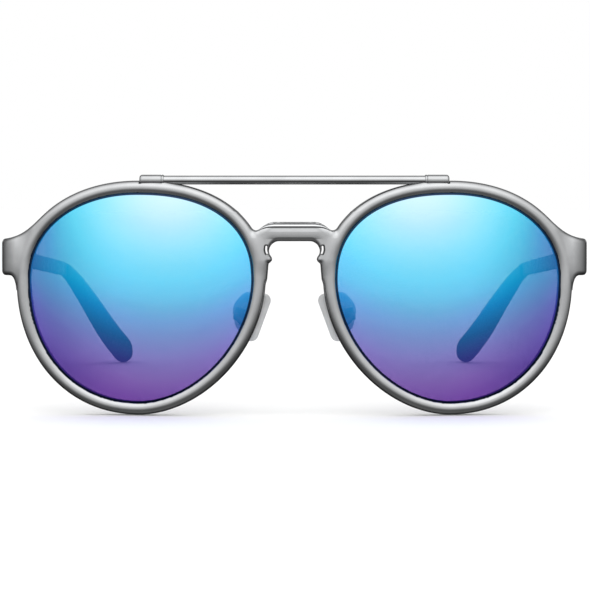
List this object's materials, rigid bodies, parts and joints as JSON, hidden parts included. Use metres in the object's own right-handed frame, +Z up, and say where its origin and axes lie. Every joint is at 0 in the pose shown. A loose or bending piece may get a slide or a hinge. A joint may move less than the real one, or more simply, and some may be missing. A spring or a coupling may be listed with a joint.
{
  "type": "aviator sunglasses",
  "caption": "Metal aviator sunglasses with a straight brow bar over a keyhole bridge, mirrored gradient lenses, rocking nose pads and folding temples.",
  "frame": {"origin": "on the table, under the middle of the sunglasses' box: X at the mid-plane, Y half-way from the bridge to the temple tips, Z where the rims and temple tips rest", "axes": "+Z up, +X towards the wearer's left, +Y from the front back to the temple tips, so the front faces -Y"},
  "size_m": [0.145, 0.147, 0.0589],
  "materials": {
    "frame_metal": "satin gunmetal-silver with fine grain",
    "bar_metal": "brushed, brighter than the rims",
    "mirror_lens": "mirror coating, sky blue at the top shading to violet at the bottom",
    "wire_metal": "bright drawn wire",
    "screw_steel": "turned",
    "pad_silicone": "translucent clear-grey silicone",
    "hinge_metal": "machined",
    "temple_metal": "satin",
    "tip_plastic": "smooth slate grey"
  },
  "bodies": {
    "front": {"front_frame": "frame_metal", "brow_bar": "bar_metal", "brow_bar_sleeve_left": "bar_metal", "brow_bar_sleeve_right": "bar_metal", "lens_left": "mirror_lens", "lens_right": "mirror_lens", "pad_arm_left": "wire_metal", "pad_arm_right": "wire_metal", "pad_box_left": "wire_metal", "pad_box_right": "wire_metal", "pad_screw_left": "screw_steel", "pad_screw_right": "screw_steel", "hinge_front_leaf_left": "hinge_metal", "hinge_front_leaf_right": "hinge_metal", "hinge_screw_left": "screw_steel", "hinge_screw_right": "screw_steel"},
    "temple_left": {"hinge_temple_leaf_left": "hinge_metal", "temple_arm_left": "temple_metal", "temple_tip_left": "tip_plastic"},
    "nose_pad_left": {"nose_pad_left": "pad_silicone", "pad_core_left": "screw_steel"},
    "temple_right": {"hinge_temple_leaf_right": "hinge_metal", "temple_arm_right": "temple_metal", "temple_tip_right": "tip_plastic"},
    "nose_pad_right": {"nose_pad_right": "pad_silicone", "pad_core_right": "screw_steel"}
  },
  "joints": [
    {"name": "temple_left_fold", "type": "hinge", "parent": "front", "child": "temple_left", "pos_m": [0.0674, -0.05826, 0.0387], "axis": [0, 0.0732, 0.9973], "range_deg": [0, 86]},
    {"name": "temple_right_fold", "type": "hinge", "parent": "front", "child": "temple_right", "pos_m": [-0.0674, -0.05826, 0.0387], "axis": [0, -0.0732, -0.9973], "range_deg": [0, 77]},
    {"name": "nose_pad_left_rock", "type": "hinge", "parent": "front", "child": "nose_pad_left", "pos_m": [0.01272, -0.06588, 0.02452], "axis": [-0.7464, -0.6428, -0.1723], "range_deg": [-8, 8]},
    {"name": "nose_pad_right_rock", "type": "hinge", "parent": "front", "child": "nose_pad_right", "pos_m": [-0.01272, -0.06588, 0.02452], "axis": [-0.7464, 0.6428, 0.1723], "range_deg": [-8, 8]}
  ]
}
